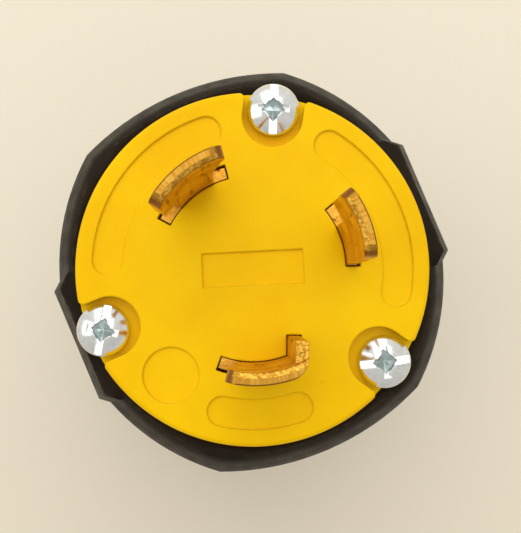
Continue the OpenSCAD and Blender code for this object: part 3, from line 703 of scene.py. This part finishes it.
def cut_away(piece: bpy.types.Object, points: np.ndarray, faces: Sequence[Sequence[int]]) -> None:
    """Takes a closed form out of a piece.

    Args:
        piece: the piece, which keeps the result in its mesh.
        points: the form's vertices, in metres.
        faces: the form's faces.
    """
    mesh = bpy.data.meshes.new("cutter")
    mesh.from_pydata(points.tolist(), [], [list(map(int, f)) for f in faces])
    form = bmesh.new()
    form.from_mesh(mesh)
    bmesh.ops.recalc_face_normals(form, faces=form.faces)
    form.to_mesh(mesh)
    form.free()
    cutter = bpy.data.objects.new("cutter", mesh)
    bpy.context.scene.collection.objects.link(cutter)
    cut = piece.modifiers.new("cut", "BOOLEAN")
    cut.operation, cut.object, cut.solver = "DIFFERENCE", cutter, "EXACT"
    finished = bpy.data.meshes.new_from_object(piece.evaluated_get(bpy.context.evaluated_depsgraph_get()))
    piece.modifiers.clear()
    piece.data = finished
    bpy.data.objects.remove(cutter)


def smooth_by_angle(piece: bpy.types.Object, degrees: float) -> None:
    """Shades a piece smooth, with every edge sharp that turns by more than an angle."""
    piece.data.polygons.foreach_set("use_smooth", np.full(len(piece.data.polygons), True))
    piece.data.set_sharp_from_angle(angle=math.radians(degrees))


# ---------------------------------------------------------------- sub-assemblies

@dataclass
class FrontFace:
    """The yellow front body with its moulding gate's mark."""

    mark_r: float = 0.00028
    mark_h: float = 0.00010
    rings: int = 6
    spokes: int = 24

    def build(self, finishes: Finishes) -> None:
        """Dresses the front body and adds the mark.

        Args:
            finishes: the materials.
        """
        face = finishes.dress("front_body", Finish.YELLOW)
        self.gate_mark(face, finishes)

    def gate_mark(self, face: bpy.types.Object, finishes: Finishes) -> None:
        """A low round nub where the mould was filled.

        Formula: height falls from mark_h at the centre as a quarter ellipse over the radius.

        Args:
            face: the front body's object.
            finishes: the materials.
        """
        spot = place_on(tree_of(face), IMAGE_POINTS["gate_mark"], vertices_of(face))
        share, around = np.meshgrid(np.linspace(0.05, 1.0, self.rings),
                                    np.linspace(0, 2 * np.pi, self.spokes, endpoint=False), indexing="ij")
        rise = self.mark_h * np.sqrt(np.clip(1 - share ** 2, 0, 1))
        points = np.stack([spot.x + self.mark_r * share * np.cos(around),
                           spot.y + self.mark_r * share * np.sin(around),
                           spot.z + rise], axis=-1).reshape(-1, 3)
        faces = grid_faces(self.rings, self.spokes, True).tolist() + [list(range(self.spokes))]
        make_piece("gate_mark", points, faces, finishes.get(Finish.YELLOW), "front")


@dataclass
class BladeSet:
    """The three brass blades."""

    blades: Tuple[str, ...] = ("blade_neutral", "blade_hot", "blade_ground")

    def build(self, finishes: Finishes) -> None:
        """Dresses the blades.

        Args:
            finishes: the materials.
        """
        for blade in self.blades:
            finishes.dress(blade, Finish.BRASS)


@dataclass
class FrontScrews:
    """The three captive screws with their rings and inserts."""

    count: int = 3

    def build(self, finishes: Finishes) -> None:
        """Dresses the screws.

        Args:
            finishes: the materials.
        """
        for k in range(1, self.count + 1):
            finishes.dress(f"assembly_screw_{k}", Finish.SCREW)
            finishes.dress(f"screw_retainer_{k}", Finish.BLACK)
        finishes.dress("threaded_inserts", Finish.BRASS)


@dataclass
class Housing:
    """The black housing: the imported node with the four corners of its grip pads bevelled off.

    Sizes are millimetres in a pad's own frame: u outwards through the pad, v across it, z up.
    A wedge runs from drop below the widest level to over above the ledge, and out to reach.
    """

    pad_turn: float = 23.0
    pad_u: float = 27.47
    pad_half_w: float = 8.35
    bevel_turn: float = 50.1
    bevel_lean: float = 1.6
    flank_r: float = 33.5
    flank_centre: Tuple[float, float] = (-5.64, -1.14)
    wide: float = 66.0
    shoulder: float = 72.3
    ledge: float = 73.0
    ledge_inset: float = 2.45
    ledge_bevel: float = 0.7
    skin: float = 0.01
    reach: Tuple[float, float] = (30.0, 11.5)
    drop: float = 28.0
    over: float = 1.0
    flank_steps: int = 9
    smooth_below_deg: float = 32.0

    def build(self, finishes: Finishes) -> None:
        """Makes the housing's piece and dresses it.

        Args:
            finishes: the materials.
        """
        body = merged_copy("housing", "housing_shell", finishes.get(Finish.BLACK))
        for pad in (0.0, 180.0):
            for side in (1.0, -1.0):
                cut_away(body, *self.corner_wedge(pad + self.pad_turn, side))
        smooth_by_angle(body, self.smooth_below_deg)
        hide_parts("housing")
        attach(body, "housing")
        log.info("housing_shell: %d faces", len(body.data.polygons))

    def corner_wedge(self, turn_deg: float, side: float) -> Tuple[np.ndarray, List[List[int]]]:
        """What a pad's corner has outside its bevel and outside the flank beside it.

        Formula: at each height the wedge starts where the bevel's line u cos(t) + v sin(t) = d
        meets the flank's circle, follows the circle away from the pad, and comes back outside.
        Above the wide level, d and the circle's radius shrink evenly.

        Args:
            turn_deg: the pad's angle.
            side: 1 for the pad's anticlockwise end, -1 for the other.

        Returns:
            The vertices in metres and the faces, which point outwards.
        """
        turn = math.radians(self.bevel_turn)
        cos_t, sin_t = math.cos(turn), math.sin(turn)
        start = self.pad_u * cos_t + self.pad_half_w * sin_t
        lean = self.bevel_lean / (self.ledge - self.wide)
        heights = np.array([self.wide - self.drop, self.wide, self.shoulder, self.ledge,
                            self.ledge + self.over])
        line = start - lean * np.clip(heights - self.wide, 0, None)
        ledge_in = self.ledge_inset + self.ledge_bevel
        radius = self.flank_r + self.skin - np.array([0.0, 0.0, self.ledge_inset, ledge_in, ledge_in])
        cu, cv = self.flank_centre
        # along the line, from the foot of the circle's centre, to the circle
        off = line - (cu * cos_t + cv * sin_t)
        along = np.sqrt(radius ** 2 - off ** 2)
        first_u = cu + off * cos_t - along * sin_t
        first_v = cv + off * sin_t + along * cos_t
        first = np.where(first_u > 0, np.arctan2(first_v - cv, first_u - cu), 0.0)
        other_u = cu + off * cos_t + along * sin_t
        other_v = cv + off * sin_t - along * cos_t
        other = np.arctan2(other_v - cv, other_u - cu)
        meets = np.where(np.abs(first_v - self.pad_half_w) < np.abs(other_v - self.pad_half_w), first, other)
        last = np.arcsin((self.reach[1] - cv) / radius)
        share = np.linspace(0, 1, self.flank_steps)[None, :]
        levels = len(heights)
        angle = meets[:, None] + (last - meets)[:, None] * share
        u = np.hstack([cu + radius[:, None] * np.cos(angle), np.full((levels, 2), self.reach[0])])
        back = (line - self.reach[0] * cos_t) / sin_t
        v = np.hstack([cv + radius[:, None] * np.sin(angle), np.full((levels, 1), self.reach[1]),
                       back[:, None]])
        turn_pad = math.radians(turn_deg)
        v = v * side
        x = u * math.cos(turn_pad) - v * math.sin(turn_pad)
        y = u * math.sin(turn_pad) + v * math.cos(turn_pad)
        z = np.broadcast_to(heights[:, None], u.shape)
        points = np.stack([x, y, z], axis=-1).reshape(-1, 3) * MM
        count = u.shape[1]
        faces = grid_faces(levels, count, True).tolist()
        faces += [list(range(count))[::-1], [(levels - 1) * count + k for k in range(count)]]
        return points, faces


@dataclass
class Terminals:
    """The terminal carrier with its screws and clamp plates."""

    def build(self, finishes: Finishes) -> None:
        """Dresses the terminals.

        Args:
            finishes: the materials.
        """
        finishes.dress("terminal_carrier", Finish.GREY)
        finishes.dress("carrier_screws", Finish.ZINC)
        for name, finish in (("neutral", Finish.ZINC), ("hot", Finish.BRASS), ("ground", Finish.GREEN)):
            finishes.dress(f"terminal_screw_{name}", finish)
            finishes.dress(f"terminal_clamp_{name}", Finish.BRASS)


@dataclass
class CordClamp:
    """The saddle, its screws and nuts, and the cord's seal."""

    def build(self, finishes: Finishes) -> None:
        """Dresses the clamp.

        Args:
            finishes: the materials.
        """
        finishes.dress("cord_clamp_saddle", Finish.BLACK)
        finishes.dress("cord_seal", Finish.RUBBER)
        for node in ("clamp_screw_left", "clamp_screw_right"):
            finishes.dress(node, Finish.CLAMP_SCREW)
        finishes.dress("clamp_nuts", Finish.ZINC)


# ---------------------------------------------------------------- studio

@dataclass(frozen=True)
class SoftBox:
    """One square area lamp that looks at a target."""

    name: str
    place: Point
    size: float
    power: float
    colour: Colour = (1.0, 1.0, 1.0)
    target: Point = (0.0, 0.0, 0.06)

    def build(self) -> None:
        """Makes the lamp."""
        data = bpy.data.lights.new(self.name, "AREA")
        data.size, data.energy, data.color = self.size, self.power, self.colour
        lamp = bpy.data.objects.new(self.name, data)
        lamp.location = self.place
        away = Vector(self.target) - Vector(self.place)
        lamp.rotation_euler = away.to_track_quat("-Z", "Y").to_euler()
        bpy.context.scene.collection.objects.link(lamp)


@dataclass
class Studio:
    """A pale floor with painted shade that darkens it slowly towards the viewer, under a soft panel, a
    window and a room's sky.
    """

    floor_half: float = 6.0
    far_colour: Colour = srgb(240, 230, 209)
    near_shade_colour: Colour = srgb(234, 222, 201)
    fade: Tuple[float, float] = (-0.075, 0.05)
    sky: Colour = (1.0, 0.99, 0.96)
    sky_strength: Tuple[float, float] = (0.52, 0.77)
    lamps: List[SoftBox] = field(default_factory=lambda: [
        SoftBox("panel_light", (0.0, 0.38, 1.0), 1.0, 4.6, (1.0, 0.99, 0.97)),
        SoftBox("window_light", (-0.2, 1.1, 0.9), 1.2, 2.2, (1.0, 0.99, 0.96)),
        SoftBox("side_light", (-1.1, 0.1, 0.8), 0.9, 2.0, (1.0, 0.99, 0.97)),
    ])

    def build(self) -> None:
        """Makes the floor, the lamps and the world."""
        self.floor()
        for lamp in self.lamps:
            lamp.build()
        self.world()
        bpy.context.scene.view_settings.view_transform = "Standard"

    def floor(self) -> None:
        """A flat square at z = 0, its colour blended along Y between the two places of fade; the darker near
        colour is painted shade.
        """
        h = self.floor_half
        mesh = bpy.data.meshes.new("floor")
        mesh.from_pydata([(-h, -h, 0), (h, -h, 0), (h, h, 0), (-h, h, 0)], [], [(0, 1, 2, 3)])
        floor = bpy.data.objects.new("floor", mesh)
        bpy.context.scene.collection.objects.link(floor)
        s = Shader("pale_floor")
        along = s.parts(s.place)[1]
        # painted shade: the floor's colour darkens towards the viewer's side
        near = s.span(along, self.fade[0], self.fade[1], 1.0, 0.0)
        colour = s.blend(near, self.far_colour, self.near_shade_colour)
        mesh.materials.append(s.finish(Base_Color=colour, Roughness=0.9, IOR=1.2))

    def world(self) -> None:
        """A sky that is dimmer on the viewer's side: its strength runs evenly along Y."""
        world = bpy.data.worlds.new("pale_room")
        world.use_nodes = True
        nodes, links = world.node_tree.nodes, world.node_tree.links
        split = nodes.new("ShaderNodeSeparateXYZ")
        links.new(nodes.new("ShaderNodeTexCoord").outputs["Generated"], split.inputs[0])
        ramp = nodes.new("ShaderNodeMapRange")
        links.new(split.outputs[1], ramp.inputs[0])
        for number, value in enumerate((-1.0, 1.0, *self.sky_strength), start=1):
            ramp.inputs[number].default_value = value
        nodes["Background"].inputs[0].default_value = (*self.sky, 1.0)
        links.new(ramp.outputs[0], nodes["Background"].inputs[1])
        bpy.context.scene.world = world


# ---------------------------------------------------------------- reports

def image_errors() -> Dict[str, List[float]]:
    """How far in x and y each thing shows from its image point.

    Returns:
        For each image point, the shift to the right and down, in pixels.
    """
    def shown(node: str, above: float) -> np.ndarray:
        """The image positions of a node's vertices above a height."""
        points = vertices_of(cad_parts[node])
        return CAMERA.project(points[points[:, 2] > above])

    shell = bpy.data.objects["housing_shell"]
    housing, face = CAMERA.project(vertices_of(shell)), shown("front_body", FACE_LEVEL)
    ends = {
        "housing_left_ear": housing[np.argmin(housing[:, 0])],
        "housing_right_ear": housing[np.argmax(housing[:, 0])],
        "housing_top_corner": housing[np.argmin(housing[:, 1])],
        "housing_bottom_corner": housing[np.argmax(housing[:, 1])],
        "face_left": face[np.argmin(face[:, 0])],
        "face_right": face[np.argmax(face[:, 0])],
    }
    for name, node in (("screw_top", 1), ("screw_lower_left", 2), ("screw_lower_right", 3)):
        head = shown(f"assembly_screw_{node}", HEAD_LEVEL)
        ends[name] = (head.min(axis=0) + head.max(axis=0)) / 2
    for name, node, way in (("neutral_tip_corner", "blade_neutral", (0.5, -1.0)),
                            ("hot_tip_corner", "blade_hot", (-0.4, -1.0)),
                            ("ground_tip_corner", "blade_ground", (-1.0, 0.55))):
        tip = shown(node, TIP_LEVEL)
        ends[name] = tip[np.argmax(tip @ np.array(way))]
    mark = bpy.data.objects["gate_mark"]
    ends["gate_mark"] = CAMERA.project(vertices_of(mark)).mean(axis=0)
    return {name: [round(float(v), 1) for v in ends[name] - np.array(IMAGE_POINTS[name])] for name in ends}


def write_reports() -> None:
    image_errors()


def main() -> None:
    """Builds the scene in order."""
    logging.basicConfig(level=logging.INFO, format="%(message)s")
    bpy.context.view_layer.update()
    CAMERA.build()
    finishes = Finishes()
    for part in (Housing(), FrontFace(), BladeSet(), FrontScrews(), Terminals(), CordClamp()):
        part.build(finishes)
    Studio().build()
    write_reports()


if __name__ == "__main__":
    main()
